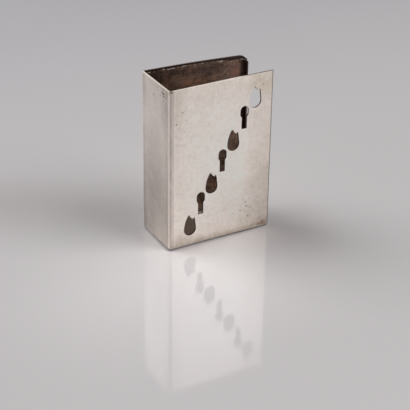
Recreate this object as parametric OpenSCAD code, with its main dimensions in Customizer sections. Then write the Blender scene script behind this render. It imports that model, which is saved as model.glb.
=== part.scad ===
// Book-form holder for a small matchbox. Two covers, a spine and a floor are cut from
// sheet silver, soldered together and filed round outside. The top and the side away
// from the spine stay open. The front cover is pierced with a climbing row of motifs.

/* [Overall] */
// Height from the table to the rim
holder_h = 57; // [50:0.5:68]
// Length of the front cover, from the outside of the spine to its free edge
cover_l = 37.6; // [34:0.2:44]
// Depth of the spine over both covers
spine_d = 19; // [16.5:0.1:24]

/* [Sheet] */
// Thickness of the sheet of the spine and both covers
sheet_t = 0.6; // [0.5:0.05:0.8]
// Thickness of the floor plate, which the walls stand on
floor_t = 1; // [0.7:0.05:1.4]
// Radius filed on the upright corners between the spine and the covers
arris_r = 1.2; // [0.8:0.1:1.4]
// Radius filed round the floor plate's lower edge
base_r = 0.9; // [0.3:0.1:1.2]

/* [Back cover] */
// Angle by which the back cover leans towards the front cover where it leaves the spine
back_lean = 2; // [0:0.25:4]
// How far the spring of the back cover carries its free edge in, beyond that lean
back_bow = 2.4; // [1:0.1:3.5]
// How much shorter the back cover is than the front cover
back_short = 1; // [0:0.1:4]
// Outer radius of the lip that is turned in along the free edge
lip_r = 2; // [1.4:0.1:3]
// Angle through which the lip is turned
lip_turn = 80; // [45:1:90]
// Radius of the top corner at the lip
lip_corner_r = 2.6; // [0.5:0.1:5]

/* [Piercing] */
// Number of motifs in the row, an odd one so that it ends as it starts
motif_n = 7; // [3:2:7]
// From the spine's outer face to the centre of the lowest motif
row_left = 7.7; // [7:0.1:10]
// From the table to the centre of the lowest motif
row_low = 8.4; // [8:0.1:11]
// From the front cover's free edge to the centre of the highest motif
row_right = 6.4; // [6:0.1:10]
// From the rim to the centre of the highest motif
row_high = 7.6; // [7:0.1:11]
// Height of a flame before the hollow beside its tip is cut
flame_h = 8.4; // [7:0.1:9]
// Width of a flame at its belly
flame_w = 4.4; // [4:0.1:4.8]
// Radius of the hollow beside a flame's tip
flame_hollow_r = 3.8; // [3.4:0.1:6]
// Sideways lean of a flame's tip
flame_lean = 1; // [0.6:0.1:1.4]
// Radius of the foot of the low tongue beside a flame's tip
tongue_r = 1.2; // [1:0.1:1.5]
// Length of the low tongue above its foot
tongue_h = 3.9; // [3:0.1:4.2]
// Angle by which the low tongue leans away from the tip
tongue_lean = 14; // [5:1:20]
// Height of a match
match_h = 8; // [7:0.1:8.6]
// Width of a match stick
stick_w = 1.9; // [1.2:0.1:2.3]
// Width of a match head
head_w = 3; // [2.6:0.1:3.4]
// How much longer than wide a match head is
head_stretch = 1.2; // [0.2:0.1:1.6]

/* [Solder] */
// Leg of a solder seam along each of the two faces that it joins
seam_leg = 0.6; // [0.3:0.05:1]
// Radius of the hollow of a seam, as a multiple of its leg
seam_hollow = 1.4; // [1.2:0.05:2]
// From the front cover's free edge to the end of the seam along its foot
seam_stop = 1.6; // [1:0.1:4]

/* [Hidden] */

// Segments of small circles, of the back cover's long arc, and of a seam's hollow
fine = 96;
long_arc = 720;
few = 6;
// Reach of cutting shapes past the metal that they trim
past = 1;
// Angle by which cuts and seams that are trimmed later run past their end
overrun = 1;
// Filing stays inside the floor plate and the upright corners, and this much stays square
foot_land = 0.05;
foot_r = min(base_r, arris_r - foot_land, floor_t - foot_land);
// The lip's bend leaves a crease this high along the back cover's outer face
crease = 0.02;

// Arc that the back cover's outer face follows, seen from above
back_r = cover_l*cover_l/(2*back_bow);
back_c = [-back_r*sin(back_lean), spine_d - back_r*cos(back_lean)];

// Arc of the lip inside the back cover's free end
lip_out = back_r - lip_r + crease;
lip_start = acos((cover_l - back_short - lip_r - back_c.x)/lip_out);
lip_c = back_c + lip_out*heading(lip_start);
lip_end = lip_start - lip_turn;

// Filed corner between the spine and the back cover, and the corner inside it
corner_c = [arris_r, spine_d - arris_r];
corner_in = [sheet_t, back_y(sheet_t, sheet_t)];
corner_in_a = angle_of(corner_in - back_c);

// The deepest point is where the filed corner runs into the back cover's face
corner_v = corner_c - back_c;
corner_along = (back_r*back_r - arris_r*arris_r + corner_v*corner_v)/(2*norm(corner_v));
corner_off = sqrt(back_r*back_r - corner_along*corner_along);
depth = back_c.y + (corner_along*corner_v.y + corner_off*corner_v.x)/norm(corner_v);

// The floor's open edge is the line from the front cover that touches the lip's arc
open_v = [cover_l, 0] - lip_c;
open_a = angle_of(open_v) + acos(lip_r/norm(open_v));
open_touch = lip_c + lip_r*heading(open_a);

// Row of motifs, from its lowest centre to its highest
row_start = [row_left, row_low];
row_run = [cover_l - row_right, holder_h - row_high] - row_start;

// Mitres where the seams along the floor meet in a corner
front_mitre_a = 45;
back_mitre_a = (corner_in_a - 180)/2;

function heading(a) = [cos(a), sin(a)];
function angle_of(v) = atan2(v.y, v.x);
// Where the back cover's outer face, drawn in by inset, is at x
function back_y(x, inset) = back_c.y + sqrt(pow(back_r - inset, 2) - pow(x - back_c.x, 2));

// Everything is drawn from the outside corner of the spine and the front cover,
// and stands centred over the origin
module placed() {
    translate([-cover_l/2, -depth/2, 0]) children();
}

// Plan of the space in front of the back cover and its lip, drawn in by inset
module back_form(inset) {
    far = back_c + (back_r + past)*heading(lip_start);
    left = back_c.x - past;
    top = back_c.y + back_r + past;
    intersection() {
        translate(back_c) circle(r = back_r - inset, $fn = long_arc);
        // The spine's side of the line through the start of the lip
        polygon([back_c, far, [far.x, top], [left, top], [left, back_c.y]]);
    }
    translate(lip_c) circle(r = lip_r - inset, $fn = fine);
}

// Profile of the waste outside a rounded edge with its two faces on the axes
module edge_waste(r) {
    difference() {
        translate([-past, -past]) square(r + past);
        translate([r, r]) circle(r = r, $fn = fine);
    }
}

// Waste along a straight edge that starts at the origin and runs along +X
module straight_waste(length, r) {
    rotate([90, 0, 90]) linear_extrude(length) edge_waste(r);
}

// Waste along a lower edge that follows an arc of radius face_r about the origin
module turned_waste(face_r, sweep, segments) {
    rotate_extrude(angle = sweep, $fn = segments)
        translate([face_r, 0]) mirror([1, 0]) edge_waste(foot_r);
}

// Waste filed off the two upright corners
module corner_waste() {
    translate([0, 0, -past]) linear_extrude(holder_h + 2*past) {
        edge_waste(arris_r);
        translate([0, spine_d]) mirror([0, 1]) edge_waste(arris_r);
    }
}

// Waste filed off the floor plate's lower edge, all the way round
module foot_waste() {
    translate([arris_r, 0, 0]) straight_waste(cover_l, foot_r);
    translate([arris_r, arris_r, 0]) rotate(180) turned_waste(arris_r, 90, fine);
    translate([0, corner_c.y, 0]) rotate(-90) straight_waste(corner_c.y - arris_r, foot_r);
    translate(corner_c) rotate(90) turned_waste(arris_r, 90, fine);
    translate(back_c) turned_waste(back_r, 360, long_arc);
    translate([cover_l, 0, 0]) rotate(open_a + 90)
        translate([-past, 0, 0]) straight_waste(spine_d + past, foot_r);
}

// A wall stands on the floor plate, reaches the rim and has its corners filed
module wall() {
    difference() {
        translate([0, 0, floor_t]) linear_extrude(holder_h - floor_t) children();
        corner_waste();
    }
}

// Outline that rises from a circle of radius r about the origin to a point
module tongue(r, rise) {
    side_r = (rise*rise + r*r)/(2*r);
    circle(r = r, $fn = fine);
    intersection() {
        translate([side_r - r, 0]) circle(r = side_r, $fn = fine);
        translate([r - side_r, 0]) circle(r = side_r, $fn = fine);
        translate([-r, 0]) square([2*r, rise]);
    }
}

// Outline of a flame about its middle, with a tip that leans left and a low tongue on its right
module flame() {
    belly_r = flame_w/2;
    translate([0, belly_r - flame_h/2]) {
        difference() {
            tongue(belly_r, flame_h - belly_r);
            translate([flame_hollow_r - flame_lean/2, flame_h - belly_r + flame_lean/2])
                circle(r = flame_hollow_r, $fn = fine);
        }
        rotate(-tongue_lean) translate([(belly_r - tongue_r)/2, tongue_r/2])
            tongue(tongue_r, tongue_h);
    }
}

// Outline of a match about its middle, with its head up
module match() {
    head_r = head_w/2;
    head_y = match_h/2 - head_r;
    translate([-stick_w/2, -match_h/2]) square([stick_w, match_h - head_r - head_stretch]);
    translate([-head_r, head_y - head_stretch]) square([head_w, head_stretch]);
    for (y = [head_y - head_stretch, head_y]) translate([0, y]) circle(r = head_r, $fn = fine);
}

// Row that climbs from the spine's foot to the free edge's top, flames and matches in turn
module motif_row() {
    for (i = [0:motif_n - 1]) translate(row_start + row_run*i/(motif_n - 1)) {
        if (i % 2 == 0) flame();
        else match();
    }
}

// Profile of a seam between a face along +X and one at angle a, hollow where it is open
module seam_profile(a = 90) {
    hollow_r = seam_leg*seam_hollow;
    swing = asin(seam_leg*sin(a/2)/hollow_r);
    hollow_c = (seam_leg*cos(a/2) + hollow_r*cos(swing))*heading(a/2);
    polygon([[0, 0], for (i = [0:few])
        hollow_c + hollow_r*heading(a/2 + 180 + swing*(1 - 2*i/few))]);
}

// Waste about point p between two headings, out to reach
module sector_waste(p, from, to, reach) {
    polygon([p, for (i = [0:few]) p + reach*heading(from + (to - from)*i/few)]);
}

// Part of a seam that lies to the right of the mitre line through point p
module right_of_mitre(p, a) {
    reach = cover_l + spine_d;
    intersection() {
        children();
        linear_extrude(holder_h) translate(p) rotate(a)
            translate([-reach, -reach]) square([2*reach, reach]);
    }
}

module front_cover() {
    color([0.86, 0.84, 0.80]) placed() difference() {
        wall() polygon([[0, 0], [cover_l, 0], [cover_l, sheet_t], [sheet_t, sheet_t]]);
        translate([0, sheet_t + past, 0]) rotate([90, 0, 0])
            linear_extrude(sheet_t + 2*past) motif_row();
    }
}

module spine() {
    color([0.74, 0.72, 0.70]) placed()
        wall() polygon([[0, 0], [sheet_t, sheet_t], corner_in, [0, spine_d]]);
}

module back_cover() {
    color([0.82, 0.80, 0.77]) placed() difference() {
        wall() difference() {
            back_form(0);
            back_form(sheet_t);
            // Mitre against the spine
            polygon([[0, spine_d + past], [0, spine_d], corner_in, [sheet_t, back_c.y],
                     [back_c.x - 2*past, back_c.y], [back_c.x - 2*past, spine_d + past]]);
            // What is left of the lip's circle past its end face
            sector_waste(lip_c, lip_end, lip_start - 180 - overrun, lip_r + past);
        }
        // Rounded top corner at the lip
        translate([lip_c.x + lip_r, -past, holder_h]) rotate([0, 180, 0]) rotate([0, 0, 90])
            mirror([0, 1, 0]) straight_waste(spine_d + 2*past, lip_corner_r);
    }
}

module floor_plate() {
    color([0.70, 0.67, 0.62]) placed() difference() {
        linear_extrude(floor_t) intersection() {
            square([cover_l, spine_d]);
            union() {
                back_form(0);
                polygon([[0, 0], [cover_l, 0], open_touch, lip_c]);
            }
        }
        corner_waste();
        foot_waste();
    }
}

// Seams along the floor, mitred where they meet
module along_front() {
    right_of_mitre([sheet_t, sheet_t], front_mitre_a) translate([0, sheet_t, floor_t])
        rotate([90, 0, 90]) linear_extrude(cover_l - seam_stop) seam_profile();
}

module along_spine() {
    right_of_mitre([sheet_t, sheet_t], front_mitre_a + 180)
        right_of_mitre(corner_in, back_mitre_a)
            translate([sheet_t, spine_d, floor_t]) rotate([90, 0, 0])
                linear_extrude(spine_d) seam_profile();
}

module along_back() {
    from = lip_start;
    to = corner_in_a + overrun;
    right_of_mitre(corner_in, back_mitre_a + 180) translate([back_c.x, back_c.y, floor_t])
        rotate([0, 0, from]) rotate_extrude(angle = to - from, $fn = long_arc)
            translate([back_r - sheet_t, 0]) mirror([1, 0]) seam_profile();
}

module front_floor_seam() {
    color([0.60, 0.57, 0.52]) placed() along_front();
}

module spine_floor_seam() {
    color([0.60, 0.57, 0.52]) placed() along_spine();
}

module back_floor_seam() {
    color([0.60, 0.57, 0.52]) placed() along_back();
}

// A seam up a corner of the walls starts above the seams along the floor
module upright_seam() {
    from = floor_t + seam_leg;
    translate([0, 0, from]) linear_extrude(holder_h - from) children();
}

module front_corner_seam() {
    color([0.60, 0.57, 0.52]) placed()
        upright_seam() translate([sheet_t, sheet_t]) seam_profile();
}

module back_corner_seam() {
    color([0.60, 0.57, 0.52]) placed()
        upright_seam() translate(corner_in) rotate(-90) seam_profile(corner_in_a);
}

front_cover();
spine();
back_cover();
floor_plate();
front_corner_seam();
back_corner_seam();
front_floor_seam();
spine_floor_seam();
back_floor_seam();
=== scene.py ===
import math
from functools import partial, reduce

import bmesh
import bpy
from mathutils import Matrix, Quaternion, Vector
from mathutils.bvhtree import BVHTree


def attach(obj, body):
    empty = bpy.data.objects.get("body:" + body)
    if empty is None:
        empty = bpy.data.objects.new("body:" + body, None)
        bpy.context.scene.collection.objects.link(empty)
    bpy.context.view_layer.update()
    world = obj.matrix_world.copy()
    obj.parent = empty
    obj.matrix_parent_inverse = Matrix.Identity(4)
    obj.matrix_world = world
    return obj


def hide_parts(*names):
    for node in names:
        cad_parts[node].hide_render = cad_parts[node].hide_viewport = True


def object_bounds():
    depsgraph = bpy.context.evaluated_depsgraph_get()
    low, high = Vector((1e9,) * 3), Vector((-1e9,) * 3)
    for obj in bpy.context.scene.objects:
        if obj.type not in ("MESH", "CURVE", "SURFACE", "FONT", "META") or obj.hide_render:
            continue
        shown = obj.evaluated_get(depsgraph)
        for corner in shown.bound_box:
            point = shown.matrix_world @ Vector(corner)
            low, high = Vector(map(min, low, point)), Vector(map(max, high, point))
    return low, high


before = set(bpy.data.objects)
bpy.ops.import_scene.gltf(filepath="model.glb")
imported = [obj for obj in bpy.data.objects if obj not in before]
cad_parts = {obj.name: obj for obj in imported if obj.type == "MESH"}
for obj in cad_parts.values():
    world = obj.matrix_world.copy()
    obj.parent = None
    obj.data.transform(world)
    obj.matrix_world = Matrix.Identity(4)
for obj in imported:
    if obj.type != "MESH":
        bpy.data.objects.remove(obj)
cad_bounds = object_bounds()

# The frame is in metres. Lengths below are in millimetres, and MM turns them into metres.
MM = 0.001

# Lowest and highest corner of the whole object, and the height of its open rim
LOW = cad_bounds[0]/MM
HIGH = cad_bounds[1]/MM
RIM = HIGH.z

# Camera of the photograph: where it looks, from where, its lens on a 36 mm sensor, and the
# nearest distance that it shows. Angles are in degrees, and an azimuth is 0 in front of the
# object and 90 on its right.
LOOK_AT = Vector((-5.569, -9.483, 14.094))
AZIMUTH = -29.55
ELEVATION = 28.861
ROLL = 0.861
DISTANCE = 453.33
LENS = 121.93
CLIP_START = 10

# How far free edges are eased, round the front cover's cut-outs and elsewhere
CUT_EASE = 0.05
EASE = 0.09
# Angle between two faces from which they meet in an edge, and below which they are one face
EDGE_ANGLE = math.radians(35)
FLAT_ANGLE = math.radians(0.2)
# Distance below which plates touch, and below which two points are one
TOUCHING = 0.01
WELD = 0.001
# Upward part of the normals on the filed foot, from almost straight down to almost level
FOOT_NORMALS = (-0.99, -0.01)

# Colours as linear light: silver, a painted highlight, and the films that dull it, some of which
# also serve as painted shade or painted reflection
SILVER = (0.985, 0.92, 0.855)
PAINTED_HIGHLIGHT = (1.0, 0.96, 0.90)
WARM_FILM = (0.81, 0.725, 0.62)
PINK_FILM = (0.93, 0.85, 0.80)
SAND_FILM_AND_SHADE = (0.56, 0.485, 0.40)
ROSE_FILM_AND_REFLECTION = (0.62, 0.54, 0.505)
OLIVE_PAINTED_SHADE = (0.50, 0.45, 0.36)
UMBER_FILM_AND_SHADE = (0.50, 0.45, 0.42)
EDGE_FILM_AND_SHADE = (0.21, 0.18, 0.16)
# Tarnish, rust and dirt, with a black that also serves as painted shade
TARNISH = (0.395, 0.27, 0.205)
TARNISH_DARK = (0.11, 0.074, 0.058)
FLOOR_TARNISH = (0.66, 0.61, 0.53)
RUST = (0.60, 0.33, 0.20)
RED_RUST = (0.52, 0.23, 0.19)
PLUM = (0.13, 0.095, 0.095)
PIT = (0.14, 0.085, 0.055)
STAIN = (0.38, 0.285, 0.22)
BLACK_TARNISH_AND_SHADE = (0.065, 0.043, 0.037)
SOLDER = (0.36, 0.31, 0.26)
# Table and backdrop, the far part of the table, and the tint of the shadows painted on the table
PALE = (0.52, 0.50, 0.505)
PALE_FAR = (0.505, 0.495, 0.52)
PAINTED_SHADOW_TINT = (0.40, 0.36, 0.355)

# Shift of the noise on each plate, so that no two plates are alike
FRONT_SHIFT = (11, 0, 4)
SPINE_SHIFT = (2, 17, 8)
BACK_SHIFT = (5, 8, 21)
FLOOR_SHIFT = (1, 6, 2)

# Where the rounded arris starts on the front cover, and where it ends in the flat front
ARRIS_START = -18.79
ARRIS_END = -16.8

# Light on the table from the world, where 1 makes a white card fully bright
WORLD_LIGHT = 0.05
WORLD_TINT = (1.0, 0.985, 0.98)
# Brightness of the backdrop where the camera or a reflection shows it
BACKDROP_LEVEL = 1.1
# Azimuth of each softbox, and its light on the table in the same measure as WORLD_LIGHT
SOFTBOXES = {"softbox_right": (42, 0.55), "softbox_left": (228, 0.53)}
SOFTBOX_ELEVATION = 47
SOFTBOX_DISTANCE = 800
SOFTBOX_SIZE = (500, 600)
# Side of the stage's floor
STAGE_SIZE = 3000

# Sockets of a Mix node that mixes colours
MIX_A, MIX_B, MIX_RESULT = 6, 7, 2


class Graph:
    """A material under construction, with short calls for the nodes that it is made of.

    x, y and z are the place on the object in millimetres, and nx, ny and nz the normal."""

    def __init__(self, name):
        self.material = bpy.data.materials.new(name)
        self.material.use_nodes = True
        self.tree = self.material.node_tree
        self.tree.nodes.clear()
        place = self.node("ShaderNodeTexCoord").outputs["Object"]
        self.place = self.vector("SCALE", place, scale=1/MM)
        self.x, self.y, self.z = self.split(self.place)
        self.xy, self.xz, self.yz = (self.x, self.y), (self.x, self.z), (self.y, self.z)
        normal = self.node("ShaderNodeNewGeometry").outputs["Normal"]
        self.nx, self.ny, self.nz = self.split(normal)

    def node(self, kind, **settings):
        made = self.tree.nodes.new(kind)
        for key, value in settings.items():
            setattr(made, key, value)
        return made

    def put(self, socket, value):
        """Link a value to a socket, or set the socket to a number, a vector or a colour."""
        if isinstance(value, bpy.types.NodeSocket):
            self.tree.links.new(value, socket)
        elif socket.type == "RGBA":
            socket.default_value = (*value, 1)
        else:
            socket.default_value = value

    def split(self, value):
        made = self.node("ShaderNodeSeparateXYZ")
        self.put(made.inputs[0], value)
        return made.outputs[0], made.outputs[1], made.outputs[2]

    def join(self, x, y, z):
        made = self.node("ShaderNodeCombineXYZ")
        for socket, value in zip(made.inputs, (x, y, z)):
            self.put(socket, value)
        return made.outputs[0]

    def vector(self, operation, a, b=None, scale=None):
        made = self.node("ShaderNodeVectorMath", operation=operation)
        self.put(made.inputs[0], a)
        if b is not None:
            self.put(made.inputs[1], b)
        if scale is not None:
            self.put(made.inputs["Scale"], scale)
        return made.outputs["Vector"]

    def math(self, operation, a, b=None):
        made = self.node("ShaderNodeMath", operation=operation)
        self.put(made.inputs[0], a)
        if b is not None:
            self.put(made.inputs[1], b)
        return made.outputs[0]

    def add(self, *values):
        return reduce(partial(self.math, "ADD"), values)

    def times(self, *values):
        return reduce(partial(self.math, "MULTIPLY"), values)

    def most(self, *values):
        return reduce(partial(self.math, "MAXIMUM"), values)

    def minus(self, a, b):
        return self.math("SUBTRACT", a, b)

    def flip(self, value):
        return self.minus(1.0, value)

    def weigh(self, *parts, base=0.0):
        """Sum of a base and of values, each times its weight."""
        return self.add(*(self.times(value, weight) for value, weight in parts), base)

    def rise(self, value, low, high, bottom=0.0, top=1.0):
        """From bottom where value is at low, softly to top where it is at high."""
        made = self.node("ShaderNodeMapRange", interpolation_type="SMOOTHSTEP")
        for socket, number in zip(made.inputs, (value, low, high, bottom, top)):
            self.put(socket, number)
        return made.outputs[0]

    def band(self, value, start, end):
        """1 between two soft borders, each the pair of values where it begins and ends."""
        return self.times(self.rise(value, *start), self.rise(value, *end, 1.0, 0.0))

    def near(self, value, centre, half):
        """1 where value is at centre, falling softly to 0 at half away from it."""
        away = self.math("ABSOLUTE", self.minus(value, centre))
        return self.rise(away, 0.0, half, 1.0, 0.0)

    def facing(self, normal):
        """1 on faces that look along an axis, by the part of their normal along it."""
        return self.rise(normal, 0.3, 0.7)

    def blot(self, plane, centre, radii, strength=1.0):
        """strength at a place in a plane, falling softly to 0 at the rim of an ellipse."""
        u, v = (self.math("DIVIDE", self.minus(value, middle), radius)
                for value, middle, radius in zip(plane, centre, radii))
        away = self.math("SQRT", self.add(self.times(u, u), self.times(v, v)))
        return self.times(self.rise(away, 0.0, 1.0, 1.0, 0.0), strength)

    def noise(self, scale, detail, rough=0.55, stretch=(1, 1, 1), shift=(0, 0, 0), warp=0.0):
        """Noise with about scale features a millimetre, drawn out where stretch is under 1."""
        made = self.node("ShaderNodeTexNoise")
        at = self.vector("MULTIPLY", self.vector("ADD", self.place, shift), stretch)
        self.put(made.inputs["Vector"], at)
        self.put(made.inputs["Scale"], scale)
        self.put(made.inputs["Detail"], detail)
        self.put(made.inputs["Roughness"], rough)
        self.put(made.inputs["Distortion"], warp)
        return made.outputs[0]

    def specks(self, scale, radius, shift):
        """Ragged specks, about scale of them a millimetre, 1 at the middle of each."""
        made = self.node("ShaderNodeTexVoronoi")
        self.put(made.inputs["Vector"], self.vector("ADD", self.place, shift))
        self.put(made.inputs["Scale"], scale)
        ragged = self.times(self.noise(3.5, 2.0, 0.6, shift=shift), radius)
        away = self.add(made.outputs["Distance"], ragged)
        core = radius*0.6
        return self.rise(away, core, radius, 1.0, 0.0)

    def mix(self, factor, a, b):
        """Colour a where the factor is 0, and colour b where it is 1."""
        made = self.node("ShaderNodeMix", data_type="RGBA")
        self.put(made.inputs["Factor"], factor)
        self.put(made.inputs[MIX_A], a)
        self.put(made.inputs[MIX_B], b)
        return made.outputs[MIX_RESULT]

    def shade(self, colour, factor):
        """The colour made darker or lighter by a factor."""
        made = self.node("ShaderNodeMix", data_type="RGBA", blend_type="MULTIPLY")
        self.put(made.inputs["Factor"], 1.0)
        self.put(made.inputs[MIX_A], colour)
        self.put(made.inputs[MIX_B], self.join(factor, factor, factor))
        return made.outputs[MIX_RESULT]

    def bump(self, height, depth, normal=None):
        """Bump of a height from 0 to 1 that is depth millimetres deep."""
        made = self.node("ShaderNodeBump")
        self.put(made.inputs["Distance"], depth*MM)
        self.put(made.inputs["Height"], height)
        if normal is not None:
            self.put(made.inputs["Normal"], normal)
        return made.outputs[0]

    def finish(self, colour, roughness, normal=None, metallic=1.0, ior=1.5):
        shader = self.node("ShaderNodeBsdfPrincipled")
        self.put(shader.inputs["Base Color"], colour)
        self.put(shader.inputs["Roughness"], roughness)
        self.put(shader.inputs["Metallic"], metallic)
        self.put(shader.inputs["IOR"], ior)
        if normal is not None:
            self.put(shader.inputs["Normal"], normal)
        output = self.node("ShaderNodeOutputMaterial")
        self.put(output.inputs["Surface"], shader.outputs[0])
        return self.material


def scratches(g, shift):
    """Fine scratches from handling, in three directions, as a height round 0.5."""
    upright = g.noise(1.0, 2.0, 0.6, stretch=(8, 8, 0.3), shift=shift)
    level = g.noise(1.0, 2.0, 0.6, stretch=(0.4, 0.4, 6), shift=shift)
    slanted = g.noise(1.2, 2.0, 0.6, stretch=(6, 6, 1.2), shift=shift, warp=0.4)
    return g.weigh((upright, 0.38), (level, 0.38), (slanted, 0.24))


def outside(g, shift, film, pits, painted_sheen=0.0):
    """Worn satin silver: its colour and roughness, and the heights of its marks and holes.

    film is how much warm film lies on it, and painted_sheen how much brighter it is painted, as
    a painted sheen. Holes begin where pits is 0.50, and none are left out from 0.62."""
    patches = g.noise(0.11, 4.0, 0.6, shift=shift)
    mottle = g.noise(0.8, 4.0, 0.7, shift=shift)
    grain = g.noise(2.6, 3.0, 0.7, shift=shift)
    marks = scratches(g, shift)
    colour = g.mix(film, SILVER, WARM_FILM)
    colour = g.mix(g.rise(patches, 0.42, 0.68, 0.0, 0.35), colour, PINK_FILM)
    tone = g.weigh((patches, 0.20), (mottle, 0.34), (grain, 0.32), (marks, 0.40), base=0.37)
    colour = g.shade(colour, g.add(tone, painted_sheen))
    holes = g.most(g.specks(1.3, 0.45, shift), g.specks(0.5, 0.40, shift))
    holes = g.times(holes, g.rise(pits, 0.50, 0.62))
    colour = g.mix(g.times(holes, 0.95), colour, PIT)
    roughness = g.weigh((patches, 0.14), (marks, 0.26), (film, 0.10), base=0.25)
    return colour, roughness, marks, holes


def inside(g, shift, dark):
    """Colour, roughness and height of the brown tarnish, streaked both ways by matchboxes.

    It is black where dark is 1."""
    upright = g.noise(1.0, 2.0, 0.6, stretch=(5, 5, 0.5), shift=shift)
    level = g.noise(1.0, 2.0, 0.6, stretch=(0.35, 0.35, 4), shift=shift)
    cloud = g.noise(0.2, 4.0, 0.65, shift=shift, warp=0.4)
    streaks = g.weigh((upright, 0.33), (level, 0.33), (cloud, 0.34))
    colour = g.mix(g.rise(streaks, 0.38, 0.60), TARNISH_DARK, TARNISH)
    colour = g.shade(colour, g.weigh((cloud, 0.9), base=0.55))
    colour = g.mix(dark, colour, BLACK_TARNISH_AND_SHADE)
    roughness = g.weigh((streaks, 0.25), base=0.34)
    return colour, roughness, streaks


def plate_material(g, shift, inner, film, pits, dark, layers, painted_sheen=0.0):
    """A plate: worn silver outside and on its edges, brown tarnish where inner is 1.

    Each of the layers is a colour and where it lies, on top of those before it. The other
    values are those that outside and inside take."""
    silver, silver_rough, marks, holes = outside(g, shift, film, pits, painted_sheen)
    brown, brown_rough, streaks = inside(g, shift, dark)
    colour = g.mix(inner, silver, brown)
    for tint, where in layers:
        colour = g.mix(where, colour, tint)
    roughness = g.add(g.times(inner, brown_rough), g.times(g.flip(inner), silver_rough))
    normal = g.bump(marks, depth=0.03)
    normal = g.bump(g.flip(holes), depth=0.03, normal=normal)
    normal = g.bump(g.times(streaks, inner), depth=0.04, normal=normal)
    return g.finish(colour, roughness, normal)


def front_material():
    """The front cover: silver with a filed arris on its left and dark walls in its cut-outs."""
    g = Graph("front_silver_worn")

    def film():
        foot = g.rise(g.z, 0.5, 8.0, 0.8, 0.0)
        rim = g.rise(g.z, 47.0, 56.0, 0.0, 0.5)
        left = g.rise(g.x, -17.2, -12.0, 0.4, 0.0)
        right = g.times(g.rise(g.x, 6.0, 18.6, 0.0, 0.7), g.rise(g.z, 26, 38, 1.0, 0.6))
        top_right = g.blot(g.xz, (15, 53), (9, 8), 0.5)
        patchy = g.rise(g.noise(0.14, 3.0, 0.6, shift=(3, 1, 5)), 0.3, 0.7, 0.25, 1.0)
        return g.times(g.add(foot, rim, left, right, top_right), patchy)

    def pits():
        near_arris = g.blot(g.xz, (-15.0, 46), (5, 12))
        lower_right = g.blot(g.xz, (12, 10), (10, 13), 0.78)
        top_right = g.blot(g.xz, (15.5, 52), (4, 5))
        places = g.add(near_arris, lower_right, top_right)
        return g.weigh((places, 0.33), (g.noise(0.45, 3.0), 0.8))

    def film_and_painted_shade():
        """Sandy film with painted shade: a dark band along the foot with a ragged border, and
        darker towards the corners and the free edge.
        """
        height = g.add(g.z, g.times(g.noise(0.16, 3.0, 0.6, shift=(4, 4, 4)), 3.0))
        foot = g.rise(height, 2.2, 5.0, 0.85, 0.0)
        foot_left = g.blot(g.xz, (-14, 0.5), (8, 6), 0.7)
        foot_middle = g.blot(g.xz, (-8, -0.5), (9, 4.5), 1.2)
        lower_right = g.blot(g.xz, (20, 2), (16, 21), 0.35)
        top_left = g.blot(g.xz, (-19, 55), (9, 24), 0.45)
        right = g.times(g.rise(g.x, 7.0, 18.0, 0.0, 0.28), g.rise(g.z, 25, 36, 1.0, 0.3))
        places = g.most(foot, foot_left, foot_middle, lower_right, top_left, right)
        return g.times(places, g.rise(g.noise(0.3, 4.0, 0.65), 0.25, 0.6, 0.5, 1.05))

    def stain():
        """A soft brown patch in the lower right corner."""
        patchy = g.rise(g.noise(0.55, 3.0, 0.6, shift=(1, 3, 7)), 0.35, 0.62, 0.15, 1.0)
        return g.times(g.blot(g.xz, (16.2, 1.8), (6.0, 4.0), 0.95), patchy)

    def arris():
        """The filed arris towards the spine, duller and rosier than the faces beside it, partly
        a painted reflection of its rounding, strongest where it turns towards the spine.
        """
        across = g.band(g.x, (ARRIS_START, ARRIS_START + 0.11),
                        (ARRIS_END - 0.35, ARRIS_END - 0.1))
        rounded = g.rise(g.nx, -0.08, -0.35, 0.5, 1.1)
        patchy = g.rise(g.noise(0.5, 3.0, 0.6, stretch=(1, 1, 0.3)), 0.25, 0.6, 0.5, 0.95)
        return g.times(across, rounded, patchy)

    def arris_painted_highlight():
        """A painted highlight: a broken bright line where the arris meets the flat front."""
        broken = g.rise(g.noise(0.8, 3.0, 0.7, stretch=(1, 1, 0.5)), 0.35, 0.6, 0.1, 0.8)
        return g.times(g.near(g.x, ARRIS_END, 0.3), broken)

    def nick():
        """A dark mark at the top of the arris."""
        place = g.blot(g.xz, (ARRIS_START + 0.79, RIM - 0.3), (1.1, 0.6))
        return g.rise(place, 0.1, 0.5, 0.0, 0.6)

    def edges():
        """Dark film on the right part of the rim and down the free edge."""
        rim = g.times(g.facing(g.nz), g.rise(g.x, 5.0, 11.0, 0.05, 1.0))
        return g.most(rim, g.rise(g.x, HIGH.x - 0.45, HIGH.x - 0.2, 0.0, 0.85))

    def cut_walls():
        """The side walls of the cut-outs, inside the outline of the plate."""
        walls = g.rise(g.math("ABSOLUTE", g.ny), 0.6, 0.95, 1.0, 0.0)
        across = g.band(g.x, (ARRIS_END - 0.2, ARRIS_END + 0.3), (HIGH.x - 0.4, HIGH.x - 0.2))
        return g.times(walls, across, g.rise(g.z, RIM - 0.4, RIM - 0.2, 1.0, 0.0))

    inner = g.facing(g.ny)
    # Painted shade: the inside turns black towards the free edge, beside the curled lip
    dark = g.rise(g.x, 10, 18, 0.0, 0.6)
    # Painted sheen: the middle of the front is painted brighter, as if it caught more light
    painted_sheen = g.blot(g.xz, (3, 26), (20, 30), 0.07)
    layers = ((SAND_FILM_AND_SHADE, film_and_painted_shade()), (STAIN, stain()), (ROSE_FILM_AND_REFLECTION, arris()),
              (PAINTED_HIGHLIGHT, arris_painted_highlight()), (TARNISH_DARK, nick()), (EDGE_FILM_AND_SHADE, edges()),
              (BLACK_TARNISH_AND_SHADE, cut_walls()))
    return plate_material(g, FRONT_SHIFT, inner, film(), pits(), dark, layers, painted_sheen)


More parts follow.
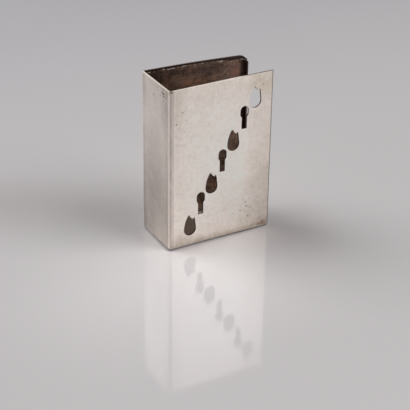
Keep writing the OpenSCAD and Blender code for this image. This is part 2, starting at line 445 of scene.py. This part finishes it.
def spine_material():
    """The spine: browner and darker than the front, most of all low down, partly as painted
    shade.
    """
    g = Graph("spine_silver_worn")

    def film():
        low = g.rise(g.z, 0.0, 30.0, 0.6, 0.0)
        rim = g.rise(g.z, RIM - 4, RIM, 0.0, 0.7)
        patchy = g.rise(g.noise(0.16, 3.0, 0.6, shift=(9, 2, 1)), 0.25, 0.7)
        return g.times(g.add(low, rim, 0.15), patchy)

    def pits():
        rim = g.rise(g.z, RIM - 7, RIM - 1, 0.0, 0.16)
        top_right = g.blot(g.yz, (-7, RIM - 2), (6, 5), 0.5)
        return g.add(rim, top_right, g.times(g.noise(0.5, 3.0), 0.85))

    def film_and_painted_shade():
        """Brown film and painted shade: darker low down and fading upwards, paler at the foot
        and darker in three corners.
        """
        # Painted shade: darker low down, where the spine would mirror the shadow on the table
        height = g.rise(g.z, 10.0, 48.0, 0.88, 0.30)
        across = g.add(g.times(g.near(g.y, 0.5, 8.0), 0.25), g.rise(g.y, 6.5, 9.0, 0.70, 1.1))
        paler = g.flip(g.blot(g.yz, (-2, 1), (9, 18), 0.50))
        top_right = g.blot(g.yz, (-7, 50), (5, 12), 0.45)
        top_left = g.blot(g.yz, (9, 52), (5, 10), 0.35)
        foot_left = g.blot(g.yz, (9, 1), (5, 12), 0.45)
        places = g.add(g.times(height, across, paler), top_right, top_left, foot_left)
        flat = g.rise(g.nx, -0.9, -0.98)
        return g.times(places, flat, g.rise(g.noise(0.3, 4.0, 0.65), 0.25, 0.6, 0.75, 1.1))

    def painted_shade_beside_arris():
        """A painted shade: a thin olive strip just behind the arris."""
        start = LOW.y + 0.9
        strip = g.band(g.y, (start, start + 0.3), (start + 0.4, start + 2.1))
        patchy = g.rise(g.noise(0.5, 3.0, 0.6, stretch=(1, 1, 0.3)), 0.25, 0.6, 0.15, 0.5)
        return g.times(strip, patchy)

    def corner_pits():
        """A rough dark spot near the arris, under the rim."""
        place = g.rise(g.blot(g.yz, (-6.4, RIM - 1.9), (2.8, 2.2)), 0.1, 0.4)
        rough = g.rise(g.noise(1.1, 3.0, 0.7, shift=(7, 7, 1)), 0.50, 0.58, 0.1, 0.85)
        return g.times(place, rough)

    inner = g.facing(g.nx)
    dark = g.rise(g.z, RIM - 0.5, RIM, 0.2, 0.8)
    layers = ((UMBER_FILM_AND_SHADE, film_and_painted_shade()), (OLIVE_PAINTED_SHADE, painted_shade_beside_arris()),
              (TARNISH_DARK, corner_pits()))
    return plate_material(g, SPINE_SHIFT, inner, film(), pits(), dark, layers)


def back_material():
    """The back cover: tarnished and rusty inside, with a blackened rim."""
    g = Graph("back_silver_worn")
    lip = g.times(g.rise(g.nx, -0.1, -0.4), g.rise(g.x, 14.0, 15.0))
    inner = g.most(g.rise(g.ny, -0.2, -0.6), lip)
    patchy = g.times(g.rise(g.noise(0.7, 4.0, 0.7, stretch=(0.5, 1, 1.5)), 0.36, 0.62), inner)

    # How far a point lies above the jagged line where the blackened rim ends
    jag = g.times(g.noise(0.6, 4.0, 0.7, stretch=(1, 1, 0.05)), 1.3)
    towards_lip = g.rise(g.x, 6.0, 13.0, 0.0, 0.55)
    above = g.minus(g.add(g.z, jag, towards_lip), RIM)

    def film():
        foot = g.rise(g.z, 0.0, 14.0, 0.5, 0.1)
        return g.times(foot, g.rise(g.noise(0.15, 3.0, 0.6), 0.3, 0.7))

    def dark():
        # Painted shade: black down the curled lip by the free edge, and darker in the top corner
        # by the spine
        free_edge = g.rise(g.x, 14.9, 16.1, 0.0, 0.9)
        return g.most(free_edge, g.blot(g.xz, (-16, RIM - 3), (12, 9), 0.6))

    def rust():
        return g.times(g.blot(g.xz, (-0.5, 50), (6, 3.5), 0.9), patchy)

    def red_rust():
        before_lip = g.rise(g.x, 14.6, 15.6, 0.8, 0.0)
        return g.times(g.blot(g.xz, (13.8, 51), (2.8, 4)), before_lip, patchy)

    def plum():
        return g.times(g.blot(g.xz, (4, 54), (9, 3.5), 0.6), inner)

    def rim():
        return g.times(g.rise(above, -0.10, 0.10, 0.0, 0.95), g.rise(g.ny, 0.3, -0.1))

    def flecks():
        """Bare silver in a broken line just below the blackened rim."""
        line = g.band(above, (-0.50, -0.30), (-0.10, 0.05))
        worn = g.noise(0.45, 4.0, 0.75, stretch=(1, 1, 0.2), shift=(2, 9, 4))
        return g.times(line, g.rise(worn, 0.50, 0.58, 0.0, 0.9), inner)

    pits = g.times(g.noise(0.35, 2.0), 0.84)
    layers = ((RUST, rust()), (RED_RUST, red_rust()), (PLUM, plum()), (BLACK_TARNISH_AND_SHADE, rim()),
              (SILVER, flecks()))
    return plate_material(g, BACK_SHIFT, inner, film(), pits, dark(), layers)


def floor_material():
    """The floor plate: tarnished inside, and painted shade on its filed round outside, darker
    towards the foot.
    """
    g = Graph("floor_silver_worn")
    inner = g.facing(g.nz)
    pits = g.noise(0.35, 2.0)
    silver, silver_rough, marks, holes = outside(g, FLOOR_SHIFT, film=0.5, pits=pits)
    cloud = g.noise(0.3, 3.0, 0.6)
    brown = g.mix(g.rise(cloud, 0.35, 0.75), FLOOR_TARNISH, UMBER_FILM_AND_SHADE)
    brown = g.shade(brown, g.add(cloud, 0.5))
    # Painted shade on the outside, the filed foot: cloudy umber all over it, darker still
    # towards its bottom where it meets the table
    silver = g.mix(g.rise(cloud, 0.3, 0.7, 0.35, 0.75), silver, UMBER_FILM_AND_SHADE)
    silver = g.mix(g.rise(g.z, 0.05, 0.95, 0.70, 0.15), silver, EDGE_FILM_AND_SHADE)
    colour = g.mix(inner, silver, brown)
    roughness = g.add(g.times(g.flip(inner), silver_rough), g.times(inner, 0.5))
    normal = g.bump(marks, depth=0.012)
    normal = g.bump(g.flip(holes), depth=0.03, normal=normal)
    return g.finish(colour, roughness, normal)


def solder_material():
    """Dull lumpy solder, blackened under the rim."""
    g = Graph("solder_dull")
    lumps = g.noise(1.6, 3.0, 0.6)
    colour = g.mix(g.rise(lumps, 0.35, 0.7), SOLDER, TARNISH)
    colour = g.shade(colour, g.add(lumps, 0.45))
    colour = g.mix(g.rise(g.z, RIM - 2.5, RIM - 0.5), colour, BLACK_TARNISH_AND_SHADE)
    roughness = g.weigh((lumps, 0.3), base=0.35)
    return g.finish(colour, roughness, g.bump(lumps, depth=0.05))


def surface_of(node):
    """The surface of a CAD node, to measure distances to."""
    form = bmesh.new()
    form.from_mesh(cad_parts[node].data)
    tree = BVHTree.FromBMesh(form)
    form.free()
    return tree


def turn_edges_along_foot(form):
    """Turn the edges inside a filed foot so that its long triangles follow the round."""
    down, level = FOOT_NORMALS
    foot = [face for face in form.faces if down < face.normal.z < level]
    in_foot = set(foot)
    within = [edge for edge in form.edges
              if len(edge.link_faces) == 2 and in_foot.issuperset(edge.link_faces)]
    bmesh.ops.beautify_fill(form, faces=foot, edges=within, method="ANGLE")


def eased_mesh(node, name, soldered_to, ease):
    """The node's mesh with its free edges eased by filing and wear. Soldered ones stay flush."""
    neighbours = [surface_of(other) for other in soldered_to]

    def is_soldered(edge):
        middle = (edge.verts[0].co + edge.verts[1].co)/2
        distances = [tree.find_nearest(middle)[-1] for tree in neighbours]
        return min(distances) < TOUCHING*MM

    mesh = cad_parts[node].data.copy()
    mesh.name = name
    form = bmesh.new()
    form.from_mesh(mesh)
    bmesh.ops.remove_doubles(form, verts=form.verts, dist=WELD*MM)
    turn_edges_along_foot(form)
    bmesh.ops.dissolve_limit(form, angle_limit=FLAT_ANGLE, verts=form.verts, edges=form.edges)
    free = [edge for edge in form.edges
            if len(edge.link_faces) == 2 and edge.calc_face_angle() > EDGE_ANGLE
            and not is_soldered(edge)]
    bmesh.ops.bevel(form, geom=free, offset=ease*MM, segments=2, profile=0.5,
                    affect="EDGES", clamp_overlap=True)
    bmesh.ops.triangulate(form, faces=[face for face in form.faces if len(face.verts) > 4])
    for face in form.faces:
        face.smooth = True
    for edge in form.edges:
        edge.smooth = len(edge.link_faces) == 2 and edge.calc_face_angle() < EDGE_ANGLE
    form.to_mesh(mesh)
    form.free()
    return mesh


def eased_plate(node, name, material, soldered_to, ease=EASE):
    """A plate with eased edges and a worn material in the place of its CAD node."""
    mesh = eased_mesh(node, name, soldered_to, ease)
    mesh.materials.clear()
    mesh.materials.append(material)
    piece = bpy.data.objects.new(name, mesh)
    bpy.context.scene.collection.objects.link(piece)
    shading = piece.modifiers.new("flat_faces_stay_flat", "WEIGHTED_NORMAL")
    shading.keep_sharp = True
    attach(piece, "root")
    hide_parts(node)


def make_plates():
    eased_plate("front_cover", "front_cover_worn", front_material(),
                ("spine", "floor_plate"), CUT_EASE)
    eased_plate("spine", "spine_worn", spine_material(),
                ("front_cover", "back_cover", "floor_plate"))
    eased_plate("back_cover", "back_cover_worn", back_material(),
                ("spine", "floor_plate"))
    eased_plate("floor_plate", "floor_plate_worn", floor_material(),
                ("front_cover", "spine", "back_cover"))


def paint_seams():
    material = solder_material()
    for node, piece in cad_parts.items():
        if node.endswith("_seam"):
            piece.data.materials.clear()
            piece.data.materials.append(material)


def table_material():
    """Glossy and pale, with painted shadows to the left and right of the object, a painted pool
    of light before it, painted light nearest the camera and a painted falloff far away, all
    fixed to the table.
    """
    g = Graph("stage_pale")
    # The two directions on the table run along the photograph's width and into its depth
    along = g.weigh((g.x, 0.87), (g.y, -0.49))
    deep = g.weigh((g.x, 0.49), (g.y, 0.87))
    # Painted shadows where the object would cast them, to its left and to its right
    painted_shadow_left = g.blot((along, deep), (-80, 13), (58, 28), 0.50)
    painted_shadow_right = g.blot((along, deep), (27, -2), (24, 32), 0.45)
    colour = g.mix(g.rise(g.y, 20, 260), PALE, PALE_FAR)
    colour = g.mix(g.most(painted_shadow_left, painted_shadow_right), colour, PAINTED_SHADOW_TINT)
    # Painted light: a pale pool before the object as if its front threw light there, lighter
    # nearest the camera, and a painted falloff that darkens the table far away
    painted_light_before_object = g.blot(g.xy, (-36, -26), (72, 60), 0.16)
    painted_light_near_camera = g.rise(deep, -110, -60, 0.04, 0.0)
    painted_falloff_far = g.rise(g.y, 40, 330, 0.97, 0.77)
    tone = g.add(g.times(g.noise(0.006, 2.0), 0.06), painted_light_before_object, painted_light_near_camera, painted_falloff_far)
    return g.finish(g.shade(colour, tone), 0.07, metallic=0.0, ior=1.37)


def make_floor():
    """A plain floor, wide enough to fill every view."""
    bpy.ops.mesh.primitive_plane_add(size=STAGE_SIZE*MM)
    floor = bpy.context.object
    floor.name = "stage_floor"
    floor.data.materials.append(table_material())


def direction(azimuth, elevation):
    """Unit vector from the object towards a camera or a lamp."""
    azimuth, elevation = math.radians(azimuth), math.radians(elevation)
    return Vector((math.sin(azimuth)*math.cos(elevation),
                   -math.cos(azimuth)*math.cos(elevation),
                   math.sin(elevation)))


def make_softbox(name, azimuth, level):
    """A softbox aimed at the object, strong enough to light the table to the level."""
    distance = SOFTBOX_DISTANCE*MM
    place = distance*direction(azimuth, SOFTBOX_ELEVATION)
    light = bpy.data.lights.new(name, "AREA")
    light.shape = "RECTANGLE"
    light.size, light.size_y = (side*MM for side in SOFTBOX_SIZE)
    # The table is level, so the lamp's light reaches it at a slant
    slant = math.sin(math.radians(SOFTBOX_ELEVATION))
    light.energy = level*(math.pi*distance)**2/slant
    lamp = bpy.data.objects.new(name, light)
    lamp.location = place
    lamp.rotation_euler = (-place).to_track_quat("-Z", "Y").to_euler()
    lamp.visible_camera = False
    bpy.context.scene.collection.objects.link(lamp)


def make_world():
    """Pale surroundings: a plain level as light, and the backdrop's grey where they show."""
    world = bpy.data.worlds.new("studio")
    bpy.context.scene.world = world
    world.use_nodes = True
    nodes, links = world.node_tree.nodes, world.node_tree.links
    nodes.clear()
    path = nodes.new("ShaderNodeLightPath")
    shown = nodes.new("ShaderNodeMath")
    shown.operation = "MAXIMUM"
    links.new(path.outputs["Is Camera Ray"], shown.inputs[0])
    links.new(path.outputs["Is Glossy Ray"], shown.inputs[1])
    blend = nodes.new("ShaderNodeMixShader")
    links.new(shown.outputs[0], blend.inputs[0])
    as_light, as_backdrop = (WORLD_TINT, WORLD_LIGHT), (PALE, BACKDROP_LEVEL)
    for socket, (colour, strength) in zip(blend.inputs[1:], (as_light, as_backdrop)):
        surroundings = nodes.new("ShaderNodeBackground")
        surroundings.inputs["Color"].default_value = (*colour, 1)
        surroundings.inputs["Strength"].default_value = strength
        links.new(surroundings.outputs[0], socket)
    output = nodes.new("ShaderNodeOutputWorld")
    links.new(blend.outputs[0], output.inputs["Surface"])


def make_camera():
    back = direction(AZIMUTH, ELEVATION)
    data = bpy.data.cameras.new("camera")
    data.lens = LENS
    data.clip_start = CLIP_START*MM
    camera = bpy.data.objects.new("camera", data)
    camera.location = (LOOK_AT + back*DISTANCE)*MM
    level = (-back).to_track_quat("-Z", "Y")
    roll = Quaternion((0, 0, 1), math.radians(ROLL))
    camera.rotation_euler = (level @ roll).to_euler()
    bpy.context.scene.collection.objects.link(camera)
    bpy.context.scene.camera = camera


make_camera()
make_plates()
paint_seams()
make_floor()
make_world()
for name, (azimuth, level) in SOFTBOXES.items():
    make_softbox(name, azimuth, level)
bpy.context.scene.view_settings.view_transform = "Standard"
